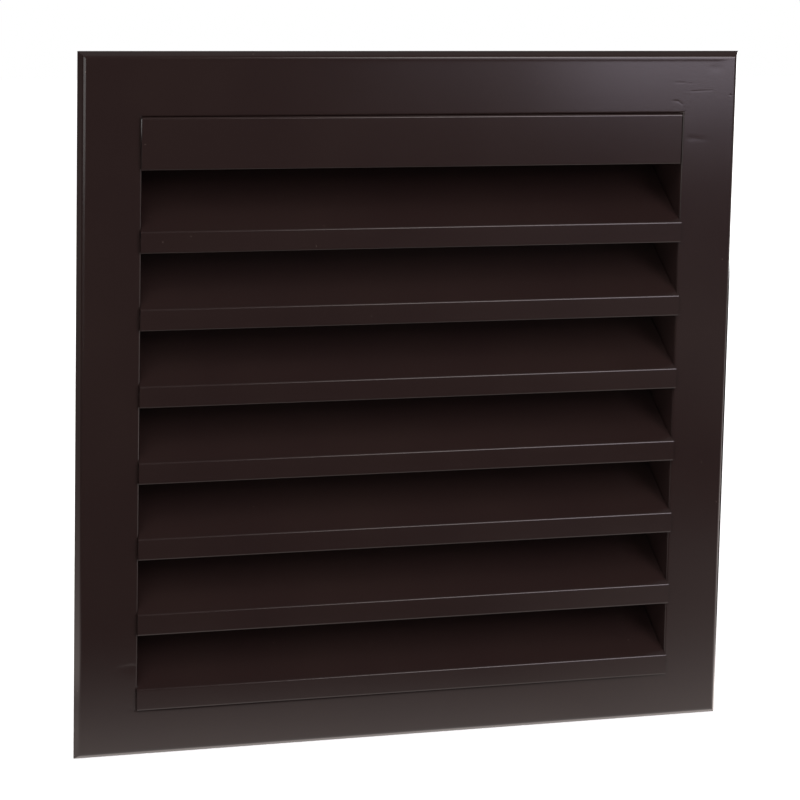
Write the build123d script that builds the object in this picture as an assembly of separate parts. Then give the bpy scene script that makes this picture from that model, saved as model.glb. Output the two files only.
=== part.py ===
from build123d import *
from math import cos, radians, sin, tan
import os

# Louvred wall grille of folded sheet steel.
# Millimetres. X runs to the right, Y into the wall and Z up. The origin is the centre of the frame
# in the plane of the wall, so the face and the lips lie at negative Y and the collar at positive Y.

# Sheet
SHEET = 0.7  # thickness of every piece
BEND_INNER = 0.3  # inside radius of a bend
HEM_GAP = 0.2  # space left inside a flattened hem

# Front frame
FRAME_WIDTH = 300.0
FRAME_HEIGHT = 300.0
EDGE_WIDTH = 3.15  # outer edge that is bent back, as wide as it looks from the front
EDGE_BEND_INNER = 1.4  # inside radius of that soft bend
EDGE_ANGLE = 55.0  # how far that edge is bent back from the face
SIDE_BORDER = 27.2  # frame's outline to the opening, left and right
END_BORDER = 27.2  # frame's outline to the opening, above and below
COLLAR_DEPTH = 40.0  # collar behind the wall's face
BEND_LAND = 0.2  # flat left between a corner slit and the start of a bend
CORNER_SLIT = 0.1  # space between two neighbouring folds at a corner
CORNER_RELIEF = 0.5  # diameter of the hole where two collar folds meet the face

# Head strip
STRIP_HEIGHT = 22.1
STRIP_FOLD = 14.0  # depth of the fold that lies under the collar's top wall
STRIP_SPACE = 0.9  # strip's right end to the collar's side wall

# Louvre blades
BLADES = 7
LIP_HEIGHT = 9.0  # lowest point of the lip to the corner where the slope starts
BOTTOM_LAP = 7.1  # how far the lowest lip hangs over the frame's lower border
TOP_SPACE = 2.1  # extra height of the first air gap, under the head strip
SLOPE = 36.0  # rise of a blade towards the back, from level
BACK_INSET = 1.0  # blade's back edge to the collar's back edge
END_LAP = 0.55  # how far a lip's end, or the strip's left end, reaches over the collar's bend
END_GAP = 0.1  # what lies behind such an end, to the collar's side wall
HEM_HEIGHT = 6.0  # edge that is folded up behind a lip
TAB_HEIGHT = 8.0  # end tab, bent down against the collar's side wall
TAB_FLOOR_GAP = 0.5  # lowest blade's tabs to the collar wall below them
TAB_SLOT = 0.6  # slot between a tab's bend and the free end of the slope

# Sizes that follow
BEND = BEND_INNER + SHEET
EDGE_BEND = EDGE_BEND_INNER + SHEET
HEM = SHEET + HEM_GAP / 2
RIM_RUN = EDGE_WIDTH - EDGE_BEND * tan(radians(EDGE_ANGLE / 2))
RIM_DEPTH = RIM_RUN * tan(radians(EDGE_ANGLE)) + SHEET * cos(radians(EDGE_ANGLE))
FACE_Y = -RIM_DEPTH
LIP_Y = FACE_Y - 2 * HEM
OPENING_X = FRAME_WIDTH / 2 - SIDE_BORDER
OPENING_Z = FRAME_HEIGHT / 2 - END_BORDER
STRIP_BOTTOM = OPENING_Z - STRIP_HEIGHT
LOWEST_LIP = -OPENING_Z - BOTTOM_LAP
PITCH = (STRIP_BOTTOM - TOP_SPACE - LOWEST_LIP) / BLADES
BLADE_RUN = COLLAR_DEPTH - BACK_INSET - LIP_Y
TAB_DROP = TAB_HEIGHT * cos(radians(SLOPE)) + TAB_FLOOR_GAP
TAB_START = max(4 * BEND, (TAB_DROP + BOTTOM_LAP - LIP_HEIGHT) / sin(radians(SLOPE)))


def folded_section(start, heading, *steps):
    """Section of a folded strip, in a plane. It follows the strip's outer surface from start, with the
    sheet on its right. A number is a flat of that length, and a pair is a turn to the right, in degrees,
    and the radius that the outer surface takes there."""
    outer, inner = [], []
    point, angle = Vector(*start), heading
    first = point
    for step in steps:
        ahead = Vector(cos(radians(angle)), sin(radians(angle)))
        across = Vector(ahead.Y, -ahead.X) * SHEET
        if isinstance(step, tuple):
            turn, radius = step
            outer.append(JernArc(start=point, tangent=ahead, radius=radius, arc_size=-turn))
            inner.append(JernArc(start=point + across, tangent=ahead, radius=radius - SHEET, arc_size=-turn))
            point, angle = outer[-1] @ 1, angle - turn
        else:
            outer.append(Line(point, point + ahead * step))
            inner.append(Line(point + across, point + across + ahead * step))
            point = outer[-1] @ 1
    ends = [Line(first, inner[0] @ 0), Line(point, inner[-1] @ 1)]
    return make_face(outer + inner + ends)


def mitred_side(section, half_length, distance, turn):
    """One side of a rectangular ring of folded sheet. The section belongs to the top side, whose mitres meet
    the corner of a rectangle of these half sizes. The side is turned about Y, clockwise from the front."""
    reach = half_length + COLLAR_DEPTH
    side = extrude(Plane.YZ * section, amount=reach, both=True)
    corner = half_length - CORNER_SLIT / 2**0.5
    for x in (corner, -corner):
        mitre = Plane(origin=(x, 0, distance), x_dir=(0, 1, 0), z_dir=(-x, 0, corner))
        side = split(side, bisect_by=mitre, keep=Keep.TOP)
    return Rot(0, turn, 0) * side


def folded_ring(draw_section, half_width, half_height):
    """Four mitred sides round the rectangle of these half sizes."""
    sides = []
    for turn in (0, 90, 180, 270):
        upright = turn % 180 == 90
        half_length = half_height if upright else half_width
        distance = half_width if upright else half_height
        sides.append(mitred_side(draw_section(distance), half_length, distance, turn))
    return sides


def outer_edge_section(distance):
    """Flat land, bend and sloping edge, outside a face whose edge is at this distance."""
    slope_length = (EDGE_WIDTH - EDGE_BEND * sin(radians(EDGE_ANGLE))) / cos(radians(EDGE_ANGLE))
    return folded_section((FACE_Y, distance), 90, BEND_LAND, (EDGE_ANGLE, EDGE_BEND), slope_length)


def collar_section(distance):
    """Collar wall, bend and flat land, inside a face whose inner edge is at this distance."""
    wall = distance - BEND_LAND - BEND
    wall_length = COLLAR_DEPTH - FACE_Y - BEND
    return folded_section((COLLAR_DEPTH, wall), 180, wall_length, (90, BEND), BEND_LAND)


def make_front_frame():
    """One sheet: the face, its outer edges bent back and the walls of the collar."""
    rim = EDGE_WIDTH + BEND_LAND
    lead = BEND + BEND_LAND
    outer = (FRAME_WIDTH / 2 - rim, FRAME_HEIGHT / 2 - rim)
    inner = (OPENING_X + lead, OPENING_Z + lead)
    face_sketch = Rectangle(2 * outer[0], 2 * outer[1]) - Rectangle(2 * inner[0], 2 * inner[1])
    reliefs = GridLocations(2 * inner[0], 2 * inner[1], 2, 2) * Circle(CORNER_RELIEF / 2)
    face_sketch -= reliefs
    face_plane = Plane(origin=(0, FACE_Y, 0), x_dir=(1, 0, 0), z_dir=(0, -1, 0))
    face = extrude(face_plane * face_sketch, amount=-SHEET)
    folds = folded_ring(outer_edge_section, *outer) + folded_ring(collar_section, *inner)
    return face + folds


def free_end():
    """Space at the left of the opening, behind the face, that strip and blades leave free."""
    corner = (Align.MAX, Align.MIN, Align.CENTER)
    return Pos(END_GAP - OPENING_X, FACE_Y, 0) * Box(BEND, COLLAR_DEPTH - FACE_Y, FRAME_HEIGHT, align=corner)


def make_head_strip():
    """Strip across the top of the opening: hemmed below, folded back along its top under the collar's wall."""
    section = folded_section(
        (LIP_Y + 2 * HEM, STRIP_BOTTOM + HEM_HEIGHT), 270,
        HEM_HEIGHT - HEM, (180, HEM), STRIP_HEIGHT - HEM - BEND, (90, BEND), STRIP_FOLD - BEND,
    )
    left_end = Plane.YZ.offset(-OPENING_X - END_LAP)
    strip = extrude(left_end * section, amount=2 * OPENING_X + END_LAP - STRIP_SPACE)
    return strip - free_end()


def make_blade():
    """One louvre, with the lowest point of its lip at Z = 0."""
    turn = 90 - SLOPE
    lead = BEND * tan(radians(turn / 2))
    slope_length = BLADE_RUN / cos(radians(SLOPE)) - lead
    section = folded_section(
        (LIP_Y + 2 * HEM, HEM_HEIGHT), 270,
        HEM_HEIGHT - HEM, (180, HEM), LIP_HEIGHT - HEM - lead, (turn, BEND), slope_length,
    )
    blade = extrude(Plane.YZ * section, amount=OPENING_X + END_LAP, both=True)
    blade -= [free_end(), mirror(free_end(), about=Plane.YZ)]

    # Square to the slope, with X across and Y down through the sheet, from the lip's top corner
    up_slope = Vector(0, cos(radians(SLOPE)), sin(radians(SLOPE)))
    corner = Vector(0, LIP_Y, LIP_HEIGHT)
    root = OPENING_X - BEND - BEND_LAND
    blade_length = BLADE_RUN / cos(radians(SLOPE))
    cut_plane = Plane(origin=corner + up_slope * (TAB_START - TAB_SLOT), x_dir=(1, 0, 0), z_dir=up_slope)
    notch = Pos(-root, 0) * Rectangle(2 * BEND, 4 * BEND, align=(Align.MAX, Align.CENTER))
    notch = extrude(cut_plane * notch, amount=blade_length)
    blade -= [notch, mirror(notch, about=Plane.YZ)]

    tab_plane = Plane(origin=corner + up_slope * TAB_START, x_dir=(1, 0, 0), z_dir=up_slope)
    tab = folded_section((-root, 0), 180, BEND_LAND, (90, BEND), TAB_HEIGHT - BEND)
    tab = extrude(tab_plane * tab, amount=blade_length - TAB_START)
    back_edge = COLLAR_DEPTH - BACK_INSET + SHEET * sin(radians(SLOPE))
    tab = split(tab, bisect_by=Plane(origin=(0, back_edge, 0), z_dir=(0, -1, 0)), keep=Keep.TOP)
    return blade + [tab, mirror(tab, about=Plane.YZ)]


nodes = {"front_frame": make_front_frame(), "head_strip": make_head_strip()}
blade = make_blade()
for number in range(1, BLADES + 1):
    lip_bottom = LOWEST_LIP + (BLADES - number) * PITCH
    nodes[f"louvre_blade_{number}"] = Pos(0, 0, lip_bottom) * blade

os.makedirs("parts", exist_ok=True)
for name, solid in nodes.items():
    export_step(solid, f"parts/{name}.step")
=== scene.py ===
"""Louvred wall grille in brown coated sheet steel, standing upright on a white studio floor."""
import math

import bmesh
import bpy
from mathutils import Euler, Matrix, Vector


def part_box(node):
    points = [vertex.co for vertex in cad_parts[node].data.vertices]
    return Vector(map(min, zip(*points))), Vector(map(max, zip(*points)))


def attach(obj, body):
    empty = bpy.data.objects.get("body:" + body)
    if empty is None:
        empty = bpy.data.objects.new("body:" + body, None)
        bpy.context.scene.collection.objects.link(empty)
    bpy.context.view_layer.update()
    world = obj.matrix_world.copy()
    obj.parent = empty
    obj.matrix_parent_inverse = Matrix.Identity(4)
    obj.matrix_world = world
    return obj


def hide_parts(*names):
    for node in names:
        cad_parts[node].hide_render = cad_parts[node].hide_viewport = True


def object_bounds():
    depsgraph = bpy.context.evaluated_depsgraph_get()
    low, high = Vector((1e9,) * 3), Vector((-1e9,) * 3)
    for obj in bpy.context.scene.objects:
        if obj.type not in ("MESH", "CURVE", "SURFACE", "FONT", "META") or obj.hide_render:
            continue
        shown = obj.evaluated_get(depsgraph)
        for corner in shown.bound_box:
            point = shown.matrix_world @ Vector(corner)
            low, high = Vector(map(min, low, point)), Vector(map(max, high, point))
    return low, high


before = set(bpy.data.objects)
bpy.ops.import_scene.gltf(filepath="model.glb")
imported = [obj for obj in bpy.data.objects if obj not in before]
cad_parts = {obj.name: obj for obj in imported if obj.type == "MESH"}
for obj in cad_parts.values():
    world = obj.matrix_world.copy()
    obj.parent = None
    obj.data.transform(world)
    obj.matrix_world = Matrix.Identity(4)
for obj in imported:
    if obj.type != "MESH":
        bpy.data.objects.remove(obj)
cad_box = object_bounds()
floor_height = cad_box[0].z
face_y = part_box("front_frame")[0].y

MM = 0.001

# Folded sheets
FRAME_EDGE_ROUNDING = 0.12 * MM
BLADE_EDGE_ROUNDING = 0.33 * MM  # of the head strip too
ROUNDING_STEPS = 2
SHARP_ANGLE = math.radians(50)  # a cut edge turns by more than this, and a step of a bend by less
FLAT_ANGLE = math.radians(0.3)  # facets that turn by less than this are joined
JOIN_DISTANCE = 0.002 * MM  # corners that are closer than this are one
SAME_PLANE = 0.0001 * MM  # what lies closer to the face than this is part of it
STRONG_FACE = 16384  # a face with this mark sets the weighted normals at its corners

# Fronts that aren't folded quite upright
FRONT_DEPTH = 0.8 * MM  # takes in the front sheet of a lip, and not the hem behind it
STRIP_LEAN = 0.008  # how far the strip's front stands back at its bottom, as a share of its height
LOWEST_LIP_LEAN = 0.033  # how far the lowest lip's front stands back at its top, as a share of its height

# Coat that closes the frame's corners
SLIT_REACH = 0.12 * MM  # takes in both sides of an outer corner's slit
SLIT_LEFT = 0.004 * MM  # what the coat leaves of it
RELIEF_RADIUS = 0.25 * MM
RELIEF_FILL = 0.3 * MM  # radius and thickness of the coat in a bend relief
RELIEF_SIDES = 16

# Dents and scratches in the face
MARK_REACH = 2.5  # half widths from a mark's middle line to the end of its patch
MARK_STEPS = 2.5  # steps of the patch's grid in a half width
MOST_COLUMNS = 24  # of that grid, where a mark is long
PATCH_SLACK = 0.001 * MM  # a face has to reach further than this into the patch

# Each mark in millimetres to the right and up: start, end, half width, depth, how many times wider its lower
# flank is, and the share of the depth that is lost towards the end
FACE_MARKS = {
    "crease at the right": ((126.8, 111.8), (136.0, 111.2), 1.1, 0.016, 1.0, 0.9),
    "crease at the lower left": ((-124.8, -110.1), (-133.6, -110.9), 0.55, 0.09, 6.0, 1.0),
    "long scratch": ((126.9, 132.4), (136.6, 132.8), 0.38, 0.008, 1.0, 0.3),
    "short scratch": ((119.1, 136.3), (123.4, 136.2), 0.4, 0.007, 1.0, 0.0),
    "pit": ((126.2, 135.9), (126.4, 135.9), 0.4, 0.01, 1.0, 0.0),
    "bent scratch, first stroke": ((118.2, 128.2), (120.3, 128.1), 0.45, 0.008, 1.0, 0.0),
    "bent scratch, second stroke": ((120.3, 128.1), (122.3, 126.9), 0.45, 0.008, 1.0, 0.0),
    "swell below the top bend": ((-144.0, 146.6), (144.0, 146.6), 0.7, -0.026, 1.0, 0.0),
    "line pressed in by the lowest lip": ((-123.0, -129.6), (122.0, -129.6), 0.75, 0.12, 1.0, 0.4),
    "shallow dent at the upper right": ((136.5, 142.6), (139.8, 142.6), 1.5, 0.012, 1.0, 0.0),
    "nick at the right edge": ((145.7, 130.7), (145.8, 130.7), 0.35, 0.02, 1.0, 0.0),
    "dent at the lower left": ((-126.2, -128.6), (-125.8, -129.0), 0.7, 0.03, 1.5, 0.0),
}

# Camera
CAMERA_PLACE = (-0.50062, -1.33982 + face_y, 0.23466)
CAMERA_DOWN = math.radians(9.334)
CAMERA_RIGHT = math.radians(20.242)
CAMERA_ROLL = math.radians(1.234)
LENS_LENGTH = 150.84  # in millimetres, and so is the sensor's width
SENSOR_WIDTH = 36.0

# Floor and lights
FLOOR_HALF_SIZE = 4.0
FLOOR_WHITE_SEEN = 0.7  # to the camera
FLOOR_WHITE_LIT = 0.35  # to every other ray that isn't a reflection
FLOOR_LIFT = 0.72  # brightness that only the camera sees on the floor
FLOOR_FAR_LIFT = 0.28  # what it gains far away, where the floor runs into the backdrop
POOL_BASE = 0.03  # dimmest reflection of the floor in front
POOL_COLOUR = (1.0, 0.9, 0.86, 1.0)
WHITE = (1, 1, 1)
COOL = (0.94, 0.85, 1.0)
WARM = (1.0, 0.93, 0.89)
MIDDLE = (0, 0, 0)


def srgb(red, green, blue):
    """A colour given as it looks on screen, from 0 to 255."""
    values = []
    for part in (red, green, blue):
        part = part / 255
        values.append(part / 12.92 if part <= 0.04045 else ((part + 0.055) / 1.055) ** 2.4)
    return (*values, 1.0)


def node_of(tree, kind, **sockets):
    """A shader node with constant values on some of its sockets."""
    node = tree.nodes.new(kind)
    for name, value in sockets.items():
        node.inputs[name.replace("_", " ")].default_value = value
    return node


def make_coat():
    """Semi-gloss brown powder coat: slow changes of colour and gloss, specks of dust, a slight waviness and
    fine orange peel."""
    coat = bpy.data.materials.new("brown_powder_coat")
    coat.use_nodes = True
    tree = coat.node_tree
    shader = tree.nodes["Principled BSDF"]
    place = tree.nodes.new("ShaderNodeTexCoord").outputs["Object"]

    cloud = node_of(tree, "ShaderNodeTexNoise", Scale=18.0, Detail=3.0)
    tree.links.new(place, cloud.inputs["Vector"])
    tint = tree.nodes.new("ShaderNodeValToRGB")
    tint.color_ramp.elements[0].position = 0.3
    tint.color_ramp.elements[0].color = srgb(36, 25, 24)
    tint.color_ramp.elements[1].position = 0.75
    tint.color_ramp.elements[1].color = srgb(39, 28, 26)
    tree.links.new(cloud.outputs["Fac"], tint.inputs["Fac"])

    grain = node_of(tree, "ShaderNodeTexVoronoi", Scale=94.0)
    tree.links.new(place, grain.inputs["Vector"])
    speck = node_of(tree, "ShaderNodeMapRange", From_Min=0.024, From_Max=0.012)
    tree.links.new(grain.outputs["Distance"], speck.inputs["Value"])
    dusted = tree.nodes.new("ShaderNodeMix")
    dusted.data_type = "RGBA"
    tree.links.new(speck.outputs["Result"], dusted.inputs["Factor"])
    tree.links.new(tint.outputs["Color"], dusted.inputs["A"])
    dusted.inputs["B"].default_value = srgb(90, 79, 72)
    tree.links.new(dusted.outputs["Result"], shader.inputs["Base Color"])

    gloss = node_of(tree, "ShaderNodeMapRange", To_Min=0.12, To_Max=0.16)
    tree.links.new(cloud.outputs["Fac"], gloss.inputs["Value"])
    tree.links.new(gloss.outputs["Result"], shader.inputs["Roughness"])

    swell = node_of(tree, "ShaderNodeTexNoise", Scale=13.0, Detail=1.0)
    tree.links.new(place, swell.inputs["Vector"])
    waves = node_of(tree, "ShaderNodeBump", Strength=1.0, Distance=0.05 * MM)
    tree.links.new(swell.outputs["Fac"], waves.inputs["Height"])
    peel = node_of(tree, "ShaderNodeTexNoise", Scale=900.0, Detail=2.0)
    tree.links.new(place, peel.inputs["Vector"])
    bump = node_of(tree, "ShaderNodeBump", Strength=0.03, Distance=0.2 * MM)
    tree.links.new(peel.outputs["Fac"], bump.inputs["Height"])
    tree.links.new(waves.outputs["Normal"], bump.inputs["Normal"])
    tree.links.new(bump.outputs["Normal"], shader.inputs["Normal"])
    return coat


def cut_faces(shape, faces, place, across):
    """Cuts these faces along a plane, and gives what they have become."""
    edges = [edge for face in faces for edge in face.edges]
    corners = [corner for face in faces for corner in face.verts]
    parts = list(dict.fromkeys(corners + edges + faces))
    cut = bmesh.ops.bisect_plane(shape, geom=parts, dist=SAME_PLANE, plane_co=place, plane_no=across)
    return [part for part in cut["geom"] if isinstance(part, bmesh.types.BMFace)]


def press_mark(shape, start, end, half_width, depth, lower_flank, fading):
    """A groove, dent or swell in the flat face, on a patch of it that is divided finely."""
    start = Vector(start) * MM
    end = Vector(end) * MM
    half_width = half_width * MM
    depth = depth * MM
    reach = MARK_REACH * half_width
    left = min(start.x, end.x) - reach
    right = max(start.x, end.x) + reach
    bottom = min(start.y, end.y) - reach * lower_flank
    top = max(start.y, end.y) + reach
    sideways = (1, 0, 0)
    upwards = (0, 0, 1)

    def touches(face):
        xs = [corner.co.x for corner in face.verts]
        zs = [corner.co.z for corner in face.verts]
        beside = min(xs) < right - PATCH_SLACK and max(xs) > left + PATCH_SLACK
        return beside and min(zs) < top - PATCH_SLACK and max(zs) > bottom + PATCH_SLACK

    front = face_y + MM / 10
    patch = [face for face in shape.faces if face.normal.y < -0.9 and face.calc_center_median().y < front]
    outline = (
        ((left, 0, 0), sideways),
        ((right, 0, 0), sideways),
        ((0, 0, bottom), upwards),
        ((0, 0, top), upwards),
    )
    for place, across in outline:
        patch = cut_faces(shape, [face for face in patch if touches(face)], place, across)
    patch = [face for face in patch if touches(face)]
    step = half_width / MARK_STEPS
    columns = math.ceil((right - left) / max(step, (right - left) / MOST_COLUMNS))
    rows = math.ceil((top - bottom) / step)
    for column in range(1, columns):
        patch = cut_faces(shape, patch, (left + (right - left) * column / columns, 0, 0), sideways)
    for row in range(1, rows):
        patch = cut_faces(shape, patch, (0, 0, bottom + (top - bottom) * row / rows), upwards)

    along = end - start
    for corner in dict.fromkeys(corner for face in patch for corner in face.verts):
        offset = Vector((corner.co.x, corner.co.z)) - start
        share = min(1.0, max(0.0, offset.dot(along) / along.length_squared))
        aside = offset - along * share
        width = half_width * lower_flank if aside.y < 0 else half_width
        corner.co.y += depth * (1 - fading * share) * math.exp(-(aside.length / width) ** 2)


def close_corners(shape):
    """Coat in the slits at the frame's outer corners and in the bend reliefs at the opening's corners."""
    flat = [corner.co.copy() for corner in shape.verts if abs(corner.co.y - face_y) < SAME_PLANE]
    slit_start = max(place.x for place in flat) - SLIT_REACH
    for corner in shape.verts:
        across = abs(corner.co.x)
        up = abs(corner.co.z)
        if max(across, up) > slit_start and SLIT_LEFT < abs(across - up) < SLIT_REACH:
            aside = math.copysign(SLIT_LEFT, across - up)
            corner.co.x = math.copysign((across + up + aside) / 2, corner.co.x)
            corner.co.z = math.copysign((across + up - aside) / 2, corner.co.z)

    diagonal = [place.x for place in flat if place.x > 0 and abs(place.x - place.z) < RELIEF_FILL]
    relief = min(diagonal) + RELIEF_RADIUS
    facing = Matrix.Rotation(math.radians(90), 4, "X")
    for across in (-relief, relief):
        for up in (-relief, relief):
            middle = Matrix.Translation((across, face_y + RELIEF_FILL, up))
            bmesh.ops.create_cone(
                shape, cap_ends=True, segments=RELIEF_SIDES, radius1=RELIEF_FILL, radius2=RELIEF_FILL,
                depth=RELIEF_FILL, matrix=middle @ facing,
            )


def finish_sheet(name):
    """A node's folded sheet as it leaves the coating: facets joined, marks and lean put in, cut edges eased
    and bends smooth."""
    shape = bmesh.new()
    shape.from_mesh(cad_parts[name].data)
    bmesh.ops.remove_doubles(shape, verts=shape.verts, dist=JOIN_DISTANCE)
    bmesh.ops.dissolve_limit(shape, angle_limit=FLAT_ANGLE, verts=shape.verts, edges=shape.edges)
    if name == "front_frame":
        close_corners(shape)

    # The layer's name is the one that Blender's weighted normals look for
    strength = shape.faces.layers.int.new("__mod_weightednormals_faceweight")
    for face in shape.faces:
        if all(abs(corner.co.y - face_y) < SAME_PLANE for corner in face.verts):
            face[strength] = STRONG_FACE

    if name == "front_frame":
        for mark in FACE_MARKS.values():
            press_mark(shape, *mark)
    lowest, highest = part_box(name)
    front = [corner for corner in shape.verts if corner.co.y < lowest.y + FRONT_DEPTH]
    if name == "head_strip":
        for corner in front:
            corner.co.y += STRIP_LEAN * (highest.z - corner.co.z)
    if name == "louvre_blade_7":
        for corner in front:
            corner.co.y += LOWEST_LIP_LEAN * (corner.co.z - lowest.z)
    for face in shape.faces:
        face.smooth = True

    mesh = bpy.data.meshes.new(name + "_coated")
    shape.to_mesh(mesh)
    shape.free()
    mesh.set_sharp_from_angle(angle=SHARP_ANGLE)
    piece = bpy.data.objects.new(name + "_coated", mesh)
    bpy.context.scene.collection.objects.link(piece)
    ease = piece.modifiers.new("eased_edges", "BEVEL")
    ease.width = FRAME_EDGE_ROUNDING if name == "front_frame" else BLADE_EDGE_ROUNDING
    ease.segments = ROUNDING_STEPS
    ease.limit_method = "ANGLE"
    ease.angle_limit = SHARP_ANGLE
    even = piece.modifiers.new("flats_stay_flat", "WEIGHTED_NORMAL")
    even.mode = "FACE_AREA"
    even.weight = 100
    even.keep_sharp = True
    even.use_face_influence = True
    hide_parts(name)
    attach(piece, "root")
    return piece


def add_camera():
    """Long lens from the left, looking a little down, as the picture was taken."""
    lens = bpy.data.cameras.new("camera")
    lens.sensor_width = SENSOR_WIDTH
    lens.lens = LENS_LENGTH
    lens.clip_start = 0.05
    lens.clip_end = 50
    camera = bpy.data.objects.new("camera", lens)
    turn = Euler((math.radians(90) - CAMERA_DOWN, 0, -CAMERA_RIGHT)).to_matrix()
    roll = Euler((0, 0, CAMERA_ROLL)).to_matrix()
    camera.matrix_world = (turn @ roll).to_4x4()
    camera.location = CAMERA_PLACE
    bpy.context.scene.collection.objects.link(camera)
    bpy.context.scene.camera = camera


def by_ray(tree, kind, chosen, rest):
    """One level for rays of a kind and another for the rest, each a number or a socket."""
    mix = tree.nodes.new("ShaderNodeMix")
    mix.data_type = "FLOAT"
    tree.links.new(tree.nodes.new("ShaderNodeLightPath").outputs[kind], mix.inputs["Factor"])
    for socket, value in (("B", chosen), ("A", rest)):
        if isinstance(value, (int, float)):
            mix.inputs[socket].default_value = value
        else:
            tree.links.new(value, mix.inputs[socket])
    return mix.outputs["Result"]


def combine(tree, operation, first, *others):
    """Levels joined by a sum, a product or the largest one. Those after the first may be numbers."""
    joined = first
    for other in others:
        join = tree.nodes.new("ShaderNodeMath")
        join.operation = operation
        tree.links.new(joined, join.inputs[0])
        if isinstance(other, float):
            join.inputs[1].default_value = other
        else:
            tree.links.new(other, join.inputs[1])
        joined = join.outputs[0]
    return joined


def fade(tree, value, start, end, level=1.0, power=1.0):
    """Grows from nothing at the start to a level at the end, and stays there."""
    ramp = node_of(tree, "ShaderNodeMapRange", From_Min=start, From_Max=end)
    tree.links.new(value, ramp.inputs["Value"])
    curve = combine(tree, "POWER", ramp.outputs["Result"], power)
    return combine(tree, "MULTIPLY", curve, level)


def light_pool(tree, x, y):
    """What the gloss shows of the floor: light that ends close in front of the grille and further away beside
    it."""
    near = combine(
        tree, "MULTIPLY",
        fade(tree, y, start=-0.25, end=0.0, level=1.22, power=2.0),
        fade(tree, y, start=0.12, end=0.03),
    )
    right = combine(
        tree, "MULTIPLY",
        fade(tree, x, start=0.1, end=0.3, level=0.85),
        fade(tree, y, start=-0.5, end=0.0),
    )
    far_right = combine(
        tree, "MULTIPLY",
        fade(tree, x, start=0.45, end=0.58, level=0.2),
        fade(tree, y, start=-1.8, end=-1.0),
    )
    beside = combine(
        tree, "MULTIPLY",
        fade(tree, x, start=0.36, end=0.5, level=1.2),
        fade(tree, y, start=-0.35, end=-0.2),
    )
    centre = combine(
        tree, "MULTIPLY",
        combine(tree, "ADD", near, right, far_right, beside, POOL_BASE),
        fade(tree, x, start=-0.35, end=-0.2),
        fade(tree, y, start=0.15, end=0.04),
    )
    left = combine(
        tree, "ADD",
        fade(tree, x, start=-0.95, end=-0.2, level=2.0, power=2.0),
        fade(tree, y, start=-0.25, end=-0.05, level=0.26),
    )
    left = combine(
        tree, "MULTIPLY", left,
        fade(tree, y, start=-0.25, end=-0.05),
        fade(tree, x, start=-0.2, end=-0.3),
    )
    return combine(tree, "MAXIMUM", centre, left)


def make_floor_paper():
    """White paper to the camera, with the object's shadow on it, and the pool of light to the gloss."""
    paper = bpy.data.materials.new("white_floor")
    paper.use_nodes = True
    tree = paper.node_tree
    tree.nodes.remove(tree.nodes["Principled BSDF"])
    place = tree.nodes.new("ShaderNodeTexCoord").outputs["Object"]
    spot = tree.nodes.new("ShaderNodeSeparateXYZ")
    tree.links.new(place, spot.inputs[0])
    glow = node_of(tree, "ShaderNodeEmission", Color=POOL_COLOUR)
    tree.links.new(light_pool(tree, spot.outputs["X"], spot.outputs["Y"]), glow.inputs["Strength"])

    white = tree.nodes.new("ShaderNodeBsdfDiffuse")
    tree.links.new(by_ray(tree, "Is Camera Ray", FLOOR_WHITE_SEEN, FLOOR_WHITE_LIT), white.inputs["Color"])
    distance = tree.nodes.new("ShaderNodeVectorMath")
    distance.operation = "LENGTH"
    tree.links.new(place, distance.inputs[0])
    away = fade(tree, distance.outputs["Value"], start=0.4, end=1.6, level=FLOOR_FAR_LIFT)
    away = combine(tree, "ADD", away, FLOOR_LIFT)
    lift = tree.nodes.new("ShaderNodeEmission")
    tree.links.new(by_ray(tree, "Is Camera Ray", away, 0.0), lift.inputs["Strength"])
    lifted = tree.nodes.new("ShaderNodeAddShader")
    tree.links.new(white.outputs["BSDF"], lifted.inputs[0])
    tree.links.new(lift.outputs["Emission"], lifted.inputs[1])

    either = tree.nodes.new("ShaderNodeMixShader")
    tree.links.new(tree.nodes.new("ShaderNodeLightPath").outputs["Is Glossy Ray"], either.inputs["Fac"])
    tree.links.new(lifted.outputs["Shader"], either.inputs[1])
    tree.links.new(glow.outputs["Emission"], either.inputs[2])
    tree.links.new(either.outputs["Shader"], tree.nodes["Material Output"].inputs["Surface"])
    return paper


def add_floor():
    """Plain floor under the grille's lower edge."""
    shape = bmesh.new()
    bmesh.ops.create_grid(shape, x_segments=1, y_segments=1, size=FLOOR_HALF_SIZE)
    bmesh.ops.translate(shape, verts=shape.verts, vec=(0, 0, floor_height))
    mesh = bpy.data.meshes.new("floor")
    shape.to_mesh(mesh)
    shape.free()
    mesh.materials.append(make_floor_paper())
    floor = bpy.data.objects.new("floor", mesh)
    bpy.context.scene.collection.objects.link(floor)


def add_light(name, place, size, brightness, colour=WHITE, target=None):
    """A soft box that faces a point, or else the wall. The brightness is that of its surface, where 1 is
    white."""
    width, height = size
    lamp = bpy.data.lights.new(name, "AREA")
    lamp.shape = "RECTANGLE"
    lamp.size = width
    lamp.size_y = height
    lamp.energy = brightness * math.pi * width * height
    lamp.color = colour
    light = bpy.data.objects.new(name, lamp)
    light.location = place
    facing = Vector((0, 1, 0)) if target is None else Vector(target) - Vector(place)
    light.rotation_euler = facing.to_track_quat("-Z", "Y").to_euler()
    bpy.context.scene.collection.objects.link(light)
    light.visible_camera = False


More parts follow.
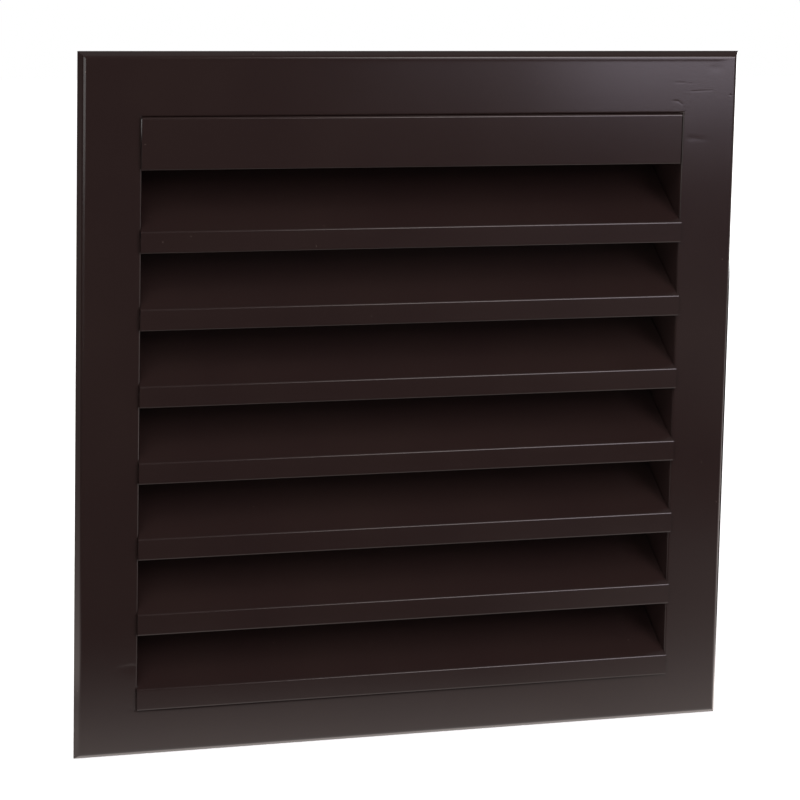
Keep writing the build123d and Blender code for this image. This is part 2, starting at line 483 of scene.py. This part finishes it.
def add_world():
    """White backdrop behind the grille, a dim room round it that is lighter to the right and above, and soft
    light on matt surfaces, stronger from the front."""
    world = bpy.data.worlds.new("studio")
    bpy.context.scene.world = world
    world.use_nodes = True
    tree = world.node_tree
    back = tree.nodes["Background"]
    back.inputs["Color"].default_value = (1, 1, 1, 1)
    way = tree.nodes.new("ShaderNodeSeparateXYZ")
    tree.links.new(tree.nodes.new("ShaderNodeTexCoord").outputs["Generated"], way.inputs[0])
    x, y, z = way.outputs
    backdrop = combine(tree, "MULTIPLY", fade(tree, y, start=0.2, end=0.6), fade(tree, z, start=0.5, end=0.3))
    lighter_right = fade(tree, x, start=0.28, end=0.45, level=0.2)
    lighter_above = fade(tree, z, start=0.75, end=0.92, level=0.25)
    room = combine(tree, "MAXIMUM", backdrop, lighter_right, lighter_above)
    soft = combine(tree, "ADD", fade(tree, y, start=0.25, end=-0.25, level=0.2), 0.08)
    level = by_ray(tree, "Is Diffuse Ray", soft, room)
    tree.links.new(by_ray(tree, "Is Camera Ray", 1.0, level), back.inputs["Strength"])


coat = make_coat()
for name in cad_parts:
    piece = finish_sheet(name)
    piece.data.materials.append(coat)

add_camera()
add_floor()
add_light("key_soft_box", (-0.99, -1.22, 1.74), (1.34, 1.34), 4.8, target=MIDDLE)
add_light("right_soft_box", (1.23, -1.5, 0.565), (1.05, 1.1), 3.0, COOL)
add_light("upper_right_soft_box", (1.02, -1.5, 0.85), (1.0, 0.9), 3.3, WARM)
add_light("upper_right_core", (1.12, -1.49, 0.9), (0.9, 0.9), 2.0, WARM)
add_light("back_left_soft_box", (-1.4, 0.95, 0.25), (1.0, 0.8), 4.5, target=MIDDLE)
add_light("back_right_soft_box", (1.4, 0.95, 0.25), (1.0, 0.8), 4.5, target=MIDDLE)
add_light("right_soft_box_rim", (1.16, -1.52, 0.6), (1.28, 1.17), 0.35, COOL)
add_light("left_soft_box", (-0.94, -1.77, 0.35), (2.0, 0.9), 2.0, target=(0, 0, 0.1))
add_world()
bpy.context.scene.view_settings.view_transform = "Standard"
